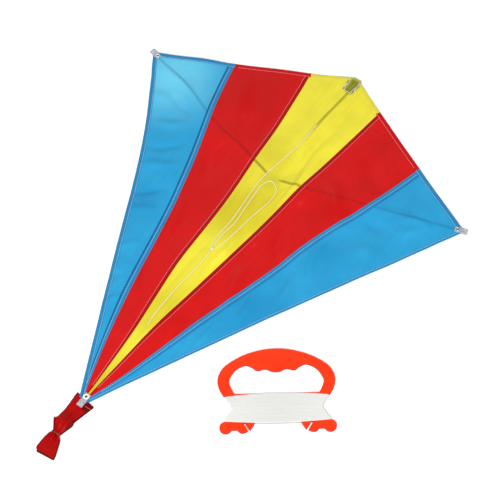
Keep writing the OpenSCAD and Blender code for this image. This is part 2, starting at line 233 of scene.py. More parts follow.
def drape(points):
    """Lays flat points of the sail on the spars: the cloth sags between them and is creased by folds."""
    points = np.asarray(points, float)
    x, y = points[..., 0], points[..., 1]
    out = np.abs(x)
    from_tail = 1 - near(y - tail_y, 0.07)
    from_tip = 1 - near(out - tip[0], 0.035)
    free = (1 - near(out, 0.030)) * from_tail * from_tip
    rolls = 0.5 * np.sin(x / 0.021 + y / 0.034 + 1.3) + 0.4 * np.sin(x / 0.013 - y / 0.041)
    flutter = 0.55 * np.sin(y / 0.0125 + out / 0.03) * np.clip((out - 0.10) / 0.16, 0, 1)
    sag = -(2.6 * (1 - near(spreader_distance(x, y), 0.026)) + 0.3) + rolls * 0.6 + flutter
    beside_spine = np.minimum(1, out / 0.012)
    z = cloth_z + sag * MM * free + fold_heights(x, y) * np.minimum(from_tip, from_tail) * beside_spine
    # the spars hold the cloth up, so that beside them it falls no steeper than this
    to_spreader = np.maximum(spreader_distance(x, y) - 2.5 * MM, 0)
    to_spine = np.maximum(out - 3.5 * MM, 0)
    steepest = 0.16
    held = cloth_z - 0.05 * MM - steepest * np.minimum(to_spreader, to_spine)
    lowest = 0.9 * MM
    return np.stack([x, y, np.maximum(softest(z, held), lowest)], -1)


def softest(a, b):
    """The higher of two heights, rounded where they meet."""
    round_off = 0.35 * MM
    h = np.clip(0.5 + (a - b) / (2 * round_off), 0, 1)
    return b + (a - b) * h + round_off * h * (1 - h)


def height_at(x, y):
    return float(drape(np.array([x, y]))[2])


# ---------------------------------------------------------------- materials


class Nodes:
    """A short way to build one material's nodes."""

    def __init__(self, name, **settings):
        self.material = bpy.data.materials.new(name)
        self.material.use_nodes = True
        self.tree = self.material.node_tree
        self.surface = self.tree.nodes["Principled BSDF"]
        for socket, value in settings.items():
            self.surface.inputs[socket.replace("_", " ")].default_value = value

    def add(self, kind, inputs=None, **properties):
        node = self.tree.nodes.new("ShaderNode" + kind)
        for key, value in properties.items():
            setattr(node, key, value)
        for key, value in (inputs or {}).items():
            self.set(node, key, value)
        return node

    def set(self, node, key, value):
        if isinstance(value, bpy.types.NodeSocket):
            self.tree.links.new(value, node.inputs[key])
        else:
            node.inputs[key].default_value = value

    def place(self, layer=None):
        """Where a point is on the piece: its place in the flat cloth, or in space."""
        if layer:
            return self.add("UVMap", uv_map=layer).outputs["UV"]
        return self.add("TexCoord").outputs["Object"]

    def noise(self, place, scale, detail):
        inputs = {"Vector": place, "Scale": scale, "Detail": detail, "Roughness": 0.55}
        return self.add("TexNoise", inputs).outputs[0]

    def wave(self, place, scale, direction):
        inputs = {"Vector": place, "Scale": scale, "Distortion": 0.3, "Detail": 1.0}
        return self.add("TexWave", inputs, wave_type="BANDS", bands_direction=direction).outputs[1]

    def weave(self, place):
        return self.math("MAXIMUM", self.wave(place, 420, "X"), self.wave(place, 420, "Y"))

    def ramp(self, value, *stops):
        node = self.add("ValToRGB", {"Fac": value})
        while len(node.color_ramp.elements) < len(stops):
            node.color_ramp.elements.new(0.5)
        for element, (place, colour) in zip(node.color_ramp.elements, stops):
            element.position = place
            element.color = (*colour, 1) if len(colour) == 3 else colour
        return node.outputs[0]

    def math(self, operation, a, b=0.0):
        return self.add("Math", {0: a, 1: b}, operation=operation).outputs[0]

    def times(self, a, b):
        return self.math("MULTIPLY", a, b)

    def plus(self, a, b):
        return self.math("ADD", a, b)

    def minus(self, a, b):
        return self.math("SUBTRACT", a, b)

    def size(self, a):
        return self.math("ABSOLUTE", a)

    def axes(self, place):
        split = self.add("SeparateXYZ", {0: place})
        return split.outputs[0], split.outputs[1]

    def away(self, place, x, y):
        """How far place is from the point (x, y)."""
        return self.add("VectorMath", {0: place, 1: (x, y, 0)}, operation="DISTANCE").outputs["Value"]

    def scale_range(self, value, low, high, to_low, to_high):
        inputs = {"Value": value, "From Min": low, "From Max": high, "To Min": to_low, "To Max": to_high}
        return self.add("MapRange", inputs, interpolation_type="SMOOTHSTEP").outputs[0]

    def mix(self, factor, a, b):
        a, b = (c if isinstance(c, bpy.types.NodeSocket) else (*c, 1) for c in (a, b))
        return self.add("Mix", {0: factor, 6: a, 7: b}, data_type="RGBA", blend_type="MIX").outputs[2]

    def colour(self, socket):
        self.tree.links.new(socket, self.surface.inputs["Base Color"])

    def rough(self, socket):
        self.tree.links.new(socket, self.surface.inputs["Roughness"])

    def bump(self, height, strength, distance):
        node = self.add("Bump", {"Height": height, "Strength": strength, "Distance": distance})
        self.tree.links.new(node.outputs[0], self.surface.inputs["Normal"])


def srgb(r, g, b):
    return tuple(((c / 255 + 0.055) / 1.055) ** 2.4 if c > 10 else c / 255 / 12.92 for c in (r, g, b))


studio_light = 1.3


def seen(r, g, b):
    """The base colour of a matt surface that looks like this under the studio light."""
    return tuple(max(0.0, c - 0.006) / studio_light for c in srgb(r, g, b))


def mixed(a, b, t):
    return tuple(p + (q - p) * t for p, q in zip(a, b))


def spar_shadow(n, place):
    """1 over the middle of the spars, whose shadows through the cloth are painted as soft dark lines, and 0
    elsewhere;
    also painted shade round the cross joint.
    """
    x, y = n.axes(place)
    across = n.size(x)
    half_line = 0.0034
    # the left spreader's line bends one way and then the other as the cloth swells off it
    bend_start, bend_end = 0.075, 0.235
    reach = n.math("MINIMUM", n.math("MAXIMUM", n.times(x, -1.0), bend_start), bend_end)
    bend = n.times(n.minus(reach, (bend_start + bend_end) / 2), 2 * math.pi / (bend_end - bend_start))
    from_line = n.minus(n.times(across, math.sin(sweep)), n.times(y, math.cos(sweep)))
    from_line = n.plus(from_line, n.times(n.math("SINE", bend), 0.0034))
    spreader = n.scale_range(n.size(from_line), 0.0007, half_line, 1.0, 0.0)
    for value, low, high, at_low, at_high in (
        (across, 0.004, 0.016, 0.15, 1.0), (x, 0.020, 0.070, 1.0, 0.55), (x, -0.130, -0.050, 0.62, 1.0),
    ):
        spreader = n.times(spreader, n.scale_range(value, low, high, at_low, at_high))
    beside = n.size(n.minus(x, n.scale_range(y, 0.105, 0.190, 0.0, 0.004)))
    spine = n.scale_range(beside, 0.0006, half_line, 1.0, 0.0)
    spine = n.times(spine, n.scale_range(y, 0.075, 0.120, 0.08, 0.9))
    # painted shade round the cross joint behind the cloth
    joint = n.scale_range(n.away(place, 0.002, -0.006), 0.004, 0.022, 0.35, 0.0)
    return n.math("MAXIMUM", n.math("MAXIMUM", spreader, joint), spine)


def cloth_material(name, colour, through, spars=0, painted_light_patches=()):
    """Thin nylon: a fine weave, soft mottling, and painted shadows of the spars behind it. Its last argument
    lists (colour, x, y, reach, amount) of soft patches of painted light: a paler painted sheen, or a deeper
    painted shade."""
    roughness = 0.4
    n = Nodes(name, Roughness=roughness, Sheen_Weight=0.03, Sheen_Roughness=0.4, Specular_IOR_Level=0.14)
    place = n.place("rest")
    mottle = n.noise(place, 26, 4)
    streak = n.noise(n.add("Mapping", {"Vector": place, "Scale": (160, 9, 1)}).outputs[0], 1.0, 3)
    base = n.ramp(
        n.plus(n.times(mottle, 0.7), n.times(streak, 0.3)),
        (0.30, mixed(colour, through, 0.22)), (0.62, colour), (0.85, mixed(colour, (1, 1, 1), 0.03)))
    # each patch blends in painted light: a paler painted sheen or a deeper painted shade
    for painted_tone, x, y, reach, amount in painted_light_patches:
        uneven = n.plus(n.away(place, x, y), n.times(n.minus(mottle, 0.5), reach * 0.4))
        base = n.mix(n.scale_range(uneven, 0.0, reach, amount, 0.0), base, painted_tone)
    if spars:
        base = n.mix(n.times(spar_shadow(n, place), spars), base, through)
    n.colour(base)
    n.rough(n.scale_range(mottle, 0.3, 0.7, roughness - 0.05, roughness + 0.07))
    n.bump(n.plus(n.times(n.weave(place), 0.5), n.times(streak, 0.6)), 0.12, 0.0002)
    return n.material


BLUE, BLUE_DARK = seen(48, 163, 214), seen(22, 96, 150)
RED, RED_DARK = seen(214, 26, 26), seen(112, 6, 8)
YELLOW, YELLOW_DARK = seen(244, 232, 66), seen(140, 136, 36)
# Painted light on the cloth: a paler painted sheen on the left blue, and deeper colours of painted shade
PAINTED_SHEEN_BLUE, PAINTED_SHADE_BLUE = seen(112, 208, 238), seen(30, 138, 192)
PAINTED_SHADE_RED, PAINTED_SHADE_YELLOW = seen(192, 16, 18), seen(206, 190, 40)
BLUE_PAINTED_LIGHT = [
    (PAINTED_SHEEN_BLUE, -0.215, 0.062, 0.110, 0.95), (PAINTED_SHADE_BLUE, -0.120, -0.130, 0.050, 0.5),
    (PAINTED_SHADE_BLUE, 0.100, -0.190, 0.090, 0.6), (PAINTED_SHADE_BLUE, 0.130, -0.060, 0.050, 0.5),
]
RED_PAINTED_SHADE = [
    (PAINTED_SHADE_RED, -0.100, 0.110, 0.100, 0.7), (PAINTED_SHADE_RED, -0.060, -0.080, 0.080, 0.4),
    (PAINTED_SHADE_RED, 0.100, 0.000, 0.060, 0.5),
]
YELLOW_PAINTED_SHADE = [
    (PAINTED_SHADE_YELLOW, -0.006, -0.075, 0.075, 0.8), (PAINTED_SHADE_YELLOW, 0.012, -0.030, 0.050, 0.5),
    (PAINTED_SHADE_YELLOW, -0.010, -0.250, 0.070, 0.6), (PAINTED_SHADE_YELLOW, 0.0, -0.400, 0.080, 0.9),
    (PAINTED_SHADE_YELLOW, -0.030, 0.030, 0.050, 0.5),
]


def thread_material(name, colour):
    n = Nodes(name, Roughness=0.5, Sheen_Weight=0.1, Specular_IOR_Level=0.3)
    twist = n.wave(n.place(), 900, "DIAGONAL")
    n.colour(n.ramp(twist, (0.1, mixed(colour, (0, 0, 0), 0.15)), (0.7, colour)))
    n.bump(twist, 0.3, 0.0002)
    return n.material


def plain_noise_material(name, dark, light, roughness, scale, bump=0.1, **settings):
    """A moulded or drawn surface with soft colour variation and fine grain."""
    n = Nodes(name, Roughness=roughness, **settings)
    place = n.place()
    soft = n.noise(place, scale, 4)
    fine = n.noise(place, scale * 14, 2)
    n.colour(n.ramp(soft, (0.3, dark), (0.7, light)))
    n.rough(n.scale_range(soft, 0.3, 0.7, roughness - 0.05, roughness + 0.08))
    n.bump(n.plus(n.times(soft, 0.5), n.times(fine, 0.5)), bump, 0.0003)
    return n.material


def clear_material(name, tint, roughness, clear):
    n = Nodes(name, Roughness=roughness, IOR=1.3, Transmission_Weight=clear)
    cloud = n.noise(n.place(), 70, 2)
    n.colour(n.ramp(cloud, (0.3, mixed(tint, (0.5, 0.5, 0.5), 0.12)), (0.7, tint)))
    n.bump(cloud, 0.06, 0.0003)
    return n.material


def nose_material(name):
    """Clear vinyl over the sewn nose: olive where the rod lies, with pale stripes of painted highlight and
    painted shade along its edges.
    """
    n = Nodes(name, Roughness=0.14, IOR=1.3, Transmission_Weight=0.25, Specular_IOR_Level=0.35)
    place = n.place()
    across, along = n.axes(place)
    bend = n.times(n.minus(n.noise(place, 90, 2), 0.5), 0.006)
    first_edge, width = -0.0068, 0.0184
    share = n.times(n.plus(n.plus(across, bend), -first_edge), 1 / width)
    # dark is painted shade along the edges and pale is painted highlight; olive is the vinyl's own tint over
    # the cloth
    dark, pale, olive = seen(112, 112, 34), seen(228, 226, 176), seen(170, 172, 52)
    olive_with_painted_light = n.ramp(
        share, (0.0, dark), (0.07, dark), (0.15, pale), (0.27, olive), (0.46, seen(142, 148, 22)),
        (0.60, olive), (0.72, dark), (0.82, pale), (0.95, dark))
    n.colour(n.mix(n.scale_range(along, 0.2005, 0.2045, 0.0, 0.85), olive_with_painted_light, seen(222, 212, 96)))
    n.bump(n.noise(place, 200, 2), 0.1, 0.0003)
    return n.material


M = {
    "blue": cloth_material("blue nylon", BLUE, BLUE_DARK, 0.5, BLUE_PAINTED_LIGHT),
    "red": cloth_material("red nylon", RED, RED_DARK, 0.4, RED_PAINTED_SHADE),
    "yellow": cloth_material("yellow nylon", YELLOW, YELLOW_DARK, 0.75, YELLOW_PAINTED_SHADE),
    "blue_double": cloth_material("double blue nylon", seen(46, 136, 188), seen(18, 84, 138)),
    "red_double": cloth_material("double red nylon", seen(172, 12, 14), RED_DARK),
    "red_hem": cloth_material("red nylon hem", seen(202, 20, 22), RED_DARK),
    "yellow_double": cloth_material("double yellow nylon", seen(234, 220, 56), YELLOW_DARK),
    # the raised fold of each blue seam is darker than the seam: painted shade of the groove beside it, deeper
    # on the left
    "left_fold": cloth_material("left blue seam fold painted shade", seen(26, 100, 158), seen(14, 70, 120)),
    "right_fold": cloth_material("right blue seam fold painted shade", seen(40, 138, 196), seen(24, 90, 140)),
    "blue_thread": thread_material("light blue thread", seen(140, 200, 238)),
    "pink_thread": thread_material("pink thread", seen(255, 122, 130)),
    "cream_thread": thread_material("cream thread", seen(246, 236, 120)),
    "line": thread_material("cream line", seen(250, 244, 190)),
    "flying_line": thread_material("white flying line", seen(242, 242, 238)),
    "vinyl": clear_material("clear vinyl", srgb(212, 216, 222), 0.16, 0.6),
    # near-white, cloudy vinyl of the nose pocket's welds and mouth bead: painted highlight streaks
    "weld": clear_material("welded vinyl edge with painted highlight", srgb(236, 238, 232), 0.2, 0.3),
    "nose_vinyl": nose_material("clear vinyl over the nose"),
    "rod": plain_noise_material("fibreglass rod", srgb(38, 38, 40), srgb(70, 70, 74), 0.35, 60),
    "rubber": plain_noise_material("black rubber", srgb(16, 16, 17), srgb(34, 34, 36), 0.55, 120, 0.25),
    "steel": plain_noise_material(
        "plated steel", srgb(190, 192, 198), srgb(232, 234, 238), 0.22, 300, 0.06, Metallic=1.0),
    "cream_metal": plain_noise_material(
        "cream enamel", srgb(226, 220, 200), srgb(246, 242, 228), 0.3, 200, 0.08),
    "plastic": plain_noise_material(
        "red orange plastic", seen(250, 54, 14), seen(255, 62, 20), 0.35, 40, 0.05, Specular_IOR_Level=0.2),
    # darker red for the winder's side walls: painted shade
    "plastic_painted_shade": plain_noise_material(
        "red plastic side wall painted shade", seen(190, 26, 12), seen(206, 32, 14), 0.4, 40, 0.05, Specular_IOR_Level=0.2),
    # dark inside of the eyelets' barrels: painted shade
    "barrel_painted_shade": plain_noise_material(
        "dark eyelet barrel painted shade", srgb(14, 13, 12), srgb(34, 32, 30), 0.6, 300, Metallic=0.4),
    "band": plain_noise_material("brown rubber band", seen(112, 30, 16), seen(150, 48, 26), 0.45, 200, 0.2),
}


ribbon_width = 0.030


def ribbon_material(name, shaded=None, pressed=None):
    """Red woven ribbon, with painted shade along its edges. shaded is (x, y, reach) of the painted shade
    inside its open fold, and the last argument is the y of a fold at its end, along which runs a line of
    painted shade."""
    n = Nodes(name, Roughness=0.46, Specular_IOR_Level=0.1)
    place = n.place("rest")
    mottle = n.noise(place, 90, 3)
    base = n.ramp(mottle, (0.25, seen(150, 4, 4)), (0.65, seen(182, 8, 8)))
    across = n.axes(place)[0]
    # painted shade along both edges, where the folded layers shade each other
    edge = n.scale_range(n.size(n.minus(across, ribbon_width / 2)), 0.0128, 0.0144, 0.0, 0.95)
    base = n.mix(edge, base, seen(84, 10, 10))
    if shaded:
        x, y, reach = shaded
        # painted shade inside the open fold
        base = n.mix(n.scale_range(n.away(place, x, y), reach * 0.6, reach, 0.9, 0.0), base, seen(96, 8, 8))
    if pressed:
        # a line of painted shade along the fold at the ribbon's end
        x, y = n.axes(n.place())
        behind = n.minus(y, n.times(x, 0.086))
        base = n.mix(n.scale_range(behind, pressed, pressed + 0.0012, 0.9, 0.0), base, seen(84, 10, 10))
    n.colour(base)
    n.bump(n.weave(place), 0.2, 0.0002)
    return n.material


M["ribbon"] = ribbon_material("red ribbon", pressed=-0.5080)
M["ribbon_top"] = ribbon_material("red ribbon at the fold", (0.0255, 0.0515, 0.0085))

# ---------------------------------------------------------------- mesh tools


def fix(piece, body, *nodes):
    """The piece moves with a body and takes the place of CAD nodes."""
    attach(piece, body)
    if nodes:
        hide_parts(*nodes)
    return piece


def circle(sides):
    """(cosine, sine) of directions all round, starting along the first axis."""
    return [(math.cos(2 * math.pi * s / sides), math.sin(2 * math.pi * s / sides)) for s in range(sides)]


def band_faces(first, second, sides):
    """Faces between two rings of points, given the number of each ring's first point."""
    pairs = [(s, (s + 1) % sides) for s in range(sides)]
    return [(first + s, first + t, second + t, second + s) for s, t in pairs]


def mesh_object(name, points, faces, material, rest=None):
    """A smooth mesh piece. rest holds each point's place in the flat cloth."""
    mesh = bpy.data.meshes.new(name)
    mesh.from_pydata([tuple(map(float, p)) for p in points], [], faces)
    mesh.validate()
    piece = link(name, mesh)
    mesh.materials.append(material)
    mesh.polygons.foreach_set("use_smooth", [True] * len(mesh.polygons))
    flat = np.asarray(points if rest is None else rest, float)[:, :2]
    layer = mesh.uv_layers.new(name="rest")
    corners = np.zeros(len(mesh.loops), int)
    mesh.loops.foreach_get("vertex_index", corners)
    layer.data.foreach_set("uv", flat[corners].astype(np.float32).ravel())
    mesh.set_sharp_from_angle(angle=math.radians(50))
    work = bmesh.new()
    work.from_mesh(mesh)
    bmesh.ops.recalc_face_normals(work, faces=work.faces)
    work.to_mesh(mesh)
    work.free()
    return piece


def shell(name, middle, thickness, material, flat, folded=False):
    """A thin closed sheet round a grid of middle points. Its first side is towards +Z, unless the sheet is
    folded over itself, so that its normals turn over."""
    rows, columns = middle.shape[:2]
    normal = np.cross(np.gradient(middle, axis=0), np.gradient(middle, axis=1))
    normal /= np.maximum(np.linalg.norm(normal, axis=-1, keepdims=True), 1e-12)
    if not folded and normal[..., 2].mean() < 0:
        normal = -normal
    top = (middle + normal * thickness / 2).reshape(-1, 3)
    bottom = (middle - normal * thickness / 2).reshape(-1, 3)
    count = rows * columns
    at = np.arange(count).reshape(rows, columns)
    faces = []
    for i in range(rows - 1):
        for j in range(columns - 1):
            quad = (at[i, j], at[i + 1, j], at[i + 1, j + 1], at[i, j + 1])
            faces.append(tuple(int(k) for k in quad))
            faces.append(tuple(int(k) + count for k in reversed(quad)))
    border = [*at[0, :-1], *at[:-1, -1], *at[-1, :0:-1], *at[:0:-1, 0]]
    for k, here in enumerate(border):
        after = border[(k + 1) % len(border)]
        faces.append((int(here), int(after), int(after) + count, int(here) + count))
    rest = np.concatenate([flat.reshape(-1, 2), flat.reshape(-1, 2)])
    return mesh_object(name, np.concatenate([top, bottom]), faces, material, rest)


def loft(name, rings, material, rest=None, closed=False):
    """A skin over rings with the same number of points each, with capped ends unless it is a closed loop."""
    rings = np.asarray(rings, float)
    count, sides = rings.shape[:2]
    faces = []
    for i in range(count if closed else count - 1):
        faces += band_faces(i * sides, ((i + 1) % count) * sides, sides)
    if not closed:
        faces.append(tuple(reversed(range(sides))))
        faces.append(tuple((count - 1) * sides + s for s in range(sides)))
    flat = None if rest is None else np.asarray(rest, float).reshape(-1, 2)
    return mesh_object(name, rings.reshape(-1, 3), faces, material, flat)


def straight(a, b, step):
    """Points from a to b, about step apart."""
    a, b = np.asarray(a, float), np.asarray(b, float)
    count = max(2, int(math.ceil(np.linalg.norm(b - a) / step)) + 1)
    return a + (b - a) * np.linspace(0, 1, count)[:, None]


def headings(path):
    ahead = np.gradient(path, axis=0)
    return ahead / np.maximum(np.linalg.norm(ahead, axis=1, keepdims=True), 1e-12)


def widening(path, narrow):
    """The share of its full width that a band has at each point of its path."""
    if not narrow:
        return np.ones(len(path))
    return np.minimum(1.0, 0.33 + 0.67 * np.linalg.norm(path - path[0], axis=1) / narrow)


def strip(name, path, profile, material, side, mirror, narrow=0.0):
    """A band that follows a flat path on the sail. profile is a closed outline of (distance from the path,
    height over the cloth's middle), in millimetres. side says on which hand of the path it lies. The first
    part of the path, narrow metres long, widens from a third of the width."""
    along = headings(path)
    inward = np.stack([-along[:, 1], along[:, 0]], -1) * side
    rings, rests = [], []
    wide = widening(path, narrow)
    for i, (point, aside) in enumerate(zip(path, inward)):
        flat = np.array([point + aside * d * wide[i] * MM for d, _ in profile])
        flat[:, 0] *= mirror
        ring = drape(flat)
        pucker = 1 + 0.12 * math.sin(i * 1.9)
        ring[:, 2] += [h * MM * pucker for _, h in profile]
        rings.append(ring)
        rests.append(flat)
    return loft(name, rings, material, rests)


def distances(path):
    """How far along its path each point is."""
    return np.concatenate([[0], np.cumsum(np.linalg.norm(np.diff(path, axis=0), axis=1))])


def stitches(name, path, material, mirror, face, lift):
    """A row of thread stitches along a flat path, lift millimetres off the cloth's middle. face is 1 on the
    front and -1 behind."""
    walked = distances(path)
    length, gap, radius, sides = 2.8, 0.5, 0.5, 6
    pitch = (length + gap) * MM
    points, faces = [], []
    stations = [(0.0, 0.35, -0.22), (0.14, 0.9, 0.0), (0.5, 1.0, 0.12), (0.86, 0.9, 0.0), (1.0, 0.35, -0.22)]
    for k in range(int((walked[-1] - pitch) / pitch)):
        start = (k + 0.5) * pitch
        first = len(points)
        for share, swell, dip in stations:
            at = start + share * length * MM
            behind, (x, y), ahead = [
                np.array([np.interp(place, walked, path[:, axis]) for axis in (0, 1)])
                for place in (at - MM, at, at + MM)]
            ahead = (ahead - behind) / max(np.linalg.norm(ahead - behind), 1e-9)
            centre = height_at(x * mirror, y) + face * (lift + dip) * MM
            for across, up in circle(sides):
                reach = radius * swell * MM * across
                points.append((
                    (x - ahead[1] * reach) * mirror, y + ahead[0] * reach, centre + radius * swell * MM * up))
        for i in range(len(stations) - 1):
            faces += band_faces(first + i * sides, first + (i + 1) * sides, sides)
        faces.append(tuple(first + s for s in reversed(range(sides))))
        faces.append(tuple(first + (len(stations) - 1) * sides + s for s in range(sides)))
    return mesh_object(name, points, faces, material)


def smooth_route(route, steps):
    """A smooth curve through the route's points."""
    p = np.asarray(route, float)
    p = np.concatenate([[2 * p[0] - p[1]], p, [2 * p[-1] - p[-2]]])
    out = []
    for i in range(1, len(p) - 2):
        a, b, c, d = p[i - 1], p[i], p[i + 1], p[i + 2]
        for t in np.linspace(0, 1, steps, endpoint=False):
            square, cube = 2 * a - 5 * b + 4 * c - d, 3 * b - a - 3 * c + d
            out.append(0.5 * (2 * b + (c - a) * t + square * t**2 + cube * t**3))
    out.append(p[-2])
    return np.array(out)


def tube_curve(name, points, diameter, material):
    """A round line through points."""
    data = bpy.data.curves.new(name, "CURVE")
    data.dimensions = "3D"
    data.bevel_depth = diameter / 2
    data.bevel_resolution = 3
    data.use_fill_caps = True
    spline = data.splines.new("POLY")
    spline.points.add(len(points) - 1)
    for place, point in zip(spline.points, points):
        place.co = (*map(float, point), 1)
    data.materials.append(material)
    piece = link(name, data)
    return piece


# ---------------------------------------------------------------- bridle cords

line_d = 1.4 * MM
knot_radius = 0.68 * MM
knot_place = np.array([0.0, -140.0]) * MM
upper_route = [
    [0, 108], [-1, 68], [-7, 24], [-11, -8], [-10, -34], [-7, -62], [-5, -92], [-6, -116], [-5, -130],
    [-2, -138.5],
]
lower_route = [[0, -142], [1, -154], [0.5, -172], [0, -190], [-2, -206], [-2.5, -244], [-2, -266], [0, -281]]
tow_route = [
    [-0.5, -136], [-1, -124], [-1.5, -112], [1, -88], [-1.5, -60], [-4, -32], [-4.5, -18], [0.5, -6],
    [10, -7], [17, -15], [19.5, -32], [16.5, -52], [13, -74], [11, -96], [8, -118], [6, -131], [2.8, -137],
]


def lay_on_sail(route):
    """A cord's points on the sail's front, just clear of its cloth, over its small hollows."""
    clear = 0.4 * MM
    points = drape(smooth_route(np.array(route) * MM, 8))
    smooth = points[:, 2].copy()
    for _ in range(3):
        smooth[1:-1] = np.maximum(points[1:-1, 2], (smooth[:-2] + smooth[2:]) / 2)
    points[:, 2] = smooth + cloth_t / 2 + line_d / 2 + clear
    return points


def add_bridle():
    knot_z = height_at(*knot_place) + 1.5 * MM
    turns = []
    for t in np.linspace(0, 2 * math.pi, 72, endpoint=False):
        reach = 1.15 + 0.55 * math.cos(3 * t)
        turns.append([
            knot_place[0] + reach * math.cos(2 * t) * MM,
            knot_place[1] + 1.35 * reach * math.sin(2 * t) * MM,
            knot_z + 0.75 * math.sin(3 * t) * MM,
        ])
    turns = np.array(turns)
    rings = []
    for i, point in enumerate(turns):
        ahead = Vector(turns[(i + 1) % len(turns)] - turns[i - 1]).normalized()
        aside = ahead.cross(Vector((0, 0, 1))).normalized()
        above = aside.cross(ahead)
        rings.append([Vector(point) + (aside * c + above * s) * knot_radius for c, s in circle(10)])
    knot = loft("bridle_overhand_knot", rings, M["line"], closed=True)
    fix(knot, "frame", "bridle_knot")
    for name, route, body, together in (
        ("upper_bridle_leg", upper_route, "frame", [knot]),
        ("lower_bridle_leg", lower_route, "frame", []),
        ("tow_loop", tow_route, "bridle_loop", []),
    ):
        points = lay_on_sail(route)
        piece = tube_curve(name + "_line", points, line_d, M["line"])
        fix(piece, body, name)


add_bridle()

# ---------------------------------------------------------------- sail gores, seams and hems

gore_rows = 230


def gore_grid(kind, side):
    """Flat points of a gore of the right half, as rows from the tail to the leading edge."""
    blunt = 0.0055
    columns = {"yellow": 24, "red": 38, "blue": 44}[kind]
    u = np.linspace(0, 1, columns)
    v = np.linspace(0, 1, gore_rows)[:, None, None]
    if kind == "blue":
        inner_top = leading_point(red_top_x)
        inner_start = apex + (inner_top - apex) * blunt / (inner_top[1] - apex[1])
        inner = inner_start + (inner_top - inner_start) * v
        outer = trailing_point(side, 1 - v[:, 0, 0])[:, None, :]
        grid = inner + (outer - inner) * u[None, :, None]
        fade = (1 - u[None, :, None]) ** 1.5
        return grid + (stray(side, inner) - inner) * fade
    low, high = {"yellow": (0, yellow_top_x), "red": (yellow_top_x, red_top_x)}[kind]
    top = leading_point(low + (high - low) * u)
    start = apex + (top - apex) * (blunt / (top[:, 1] - apex[1]))[:, None]
    return stray(side, start[None] + (top - start)[None] * v)


def flat_area(grid):
    a = grid[:-1, :-1] - grid[1:, 1:]
    b = grid[1:, :-1] - grid[:-1, 1:]
    return float(np.abs(a[..., 0] * b[..., 1] - a[..., 1] * b[..., 0]).sum() / 2)


def hinge(piece):
    """Bakes the piece's placement into its mesh."""
    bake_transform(piece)


def hem_profile(width):
    """Outline of a folded hem as (distance in from the edge, height over the cloth's middle)."""
    return [
        (width, 0.34), (width * 0.5, 0.36), (0.9, 0.42), (0.1, 0.36), (-0.3, 0.18), (-0.4, 0), (-0.3, -0.18),
        (0.1, -0.36), (0.9, -0.42), (width * 0.5, -0.36), (width, -0.34), (width, -0.16), (0.1, -0.16),
        (0.1, 0.16), (width, 0.16),
    ]


def seam_profile(start, end, rise):
    """Outline of a flat seam band on the front of the cloth, with rounded edges."""
    return [
        (start, 0.12), (start + 0.1, rise * 0.7), (start + 0.5, rise), (start + 1.0, rise * 0.8),
        ((start + end) / 2, rise * 0.7), (end - 1.0, rise * 0.8), (end - 0.4, rise), (end, rise * 0.5),
        (end, 0.12),
    ]


def punch(piece, centre, radius):
    """Cuts a round hole through a piece, for an eyelet."""
    cutter = bpy.data.meshes.new("cutter")
    work = bmesh.new()
    bmesh.ops.create_cone(work, cap_ends=True, segments=32, radius1=radius, radius2=radius, depth=0.04)
    work.to_mesh(cutter)
    work.free()
    tool = link("cutter", cutter)
    tool.location = (centre[0], centre[1], cloth_z)
    bpy.context.view_layer.update()
    change = piece.modifiers.new("hole", "BOOLEAN")
    change.operation = "DIFFERENCE"
    change.object = tool
    change.solver = "EXACT"
    depsgraph = bpy.context.evaluated_depsgraph_get()
    cut = bpy.data.meshes.new_from_object(piece.evaluated_get(depsgraph))
    piece.modifiers.clear()
    piece.data = cut
    bpy.data.objects.remove(tool)
    bpy.data.meshes.remove(cutter)


tip_eyelet = np.array([eyelet_middle.x, eyelet_middle.y])
tail_eyelet = np.array([0.0, tail_y + 6.5 * MM])
tip_barrel = 1.75 * MM
tail_barrel = 2.35 * MM


def hem_along(name, path, width, colour, thread, side, rows, inward):
    """A hem with its rows of stitches, front and back."""
    made = [strip(f"{name}_hem", path, hem_profile(width), M[colour], inward, side)]
    along = headings(path)
    aside = np.stack([-along[:, 1], along[:, 0]], -1) * inward
    for number, inset in enumerate(rows):
        line = path + aside * inset * MM
        for face, word in ((1, "front"), (-1, "back")):
            made.append(stitches(
                f"{name}_hem_stitches_{number}_{word}", line, M[thread], side, face, 0.46))
    return made


# Each seam: x of its top end, its width and rise, the inset of its stitches, their thread, and where they end
seams = {
    "blue": (red_top_x, 7.6, 0.55, 4.9, "blue_thread", -1),
    "red": (yellow_top_x, 6.0, 0.5, 5.4, "pink_thread", None),
}


def seam_pieces(kind, side):
    """The band of a seam on its outer gore, with its stitches. The blue seam also has a raised fold."""
    top_x, width, rise, inset, thread, last = seams[kind]
    name, slot, narrow = f"{WINGS[side]}_{kind}_seam", f"{kind}_cloth", 0.16
    top = leading_point(top_x)
    start = apex + (top - apex) * 0.012
    path = stray(side, straight(start, top, 0.0035))[:-1]
    made = [strip(name, path, seam_profile(0, width, rise), M[kind + "_double"], -1, side, narrow)]
    if kind == "blue":
        fold = seam_profile(7.0, 8.8, 0.95)
        made.append(strip(f"{name}_fold", path[:-1], fold, M[WINGS[side] + "_fold"], -1, side, narrow))
    across = np.array([top[1] - apex[1], apex[0] - top[0]])
    across /= np.linalg.norm(across)
    stitched = slice(6, last)
    line = path[stitched] + across * inset * widening(path, narrow)[stitched, None] * MM
    for word, face, lift in (("front", 1, 0.5), ("back", -1, 0.2)):
        made.append(stitches(f"{name}_stitches_{word}", line, M[thread], side, face, lift))
    return made


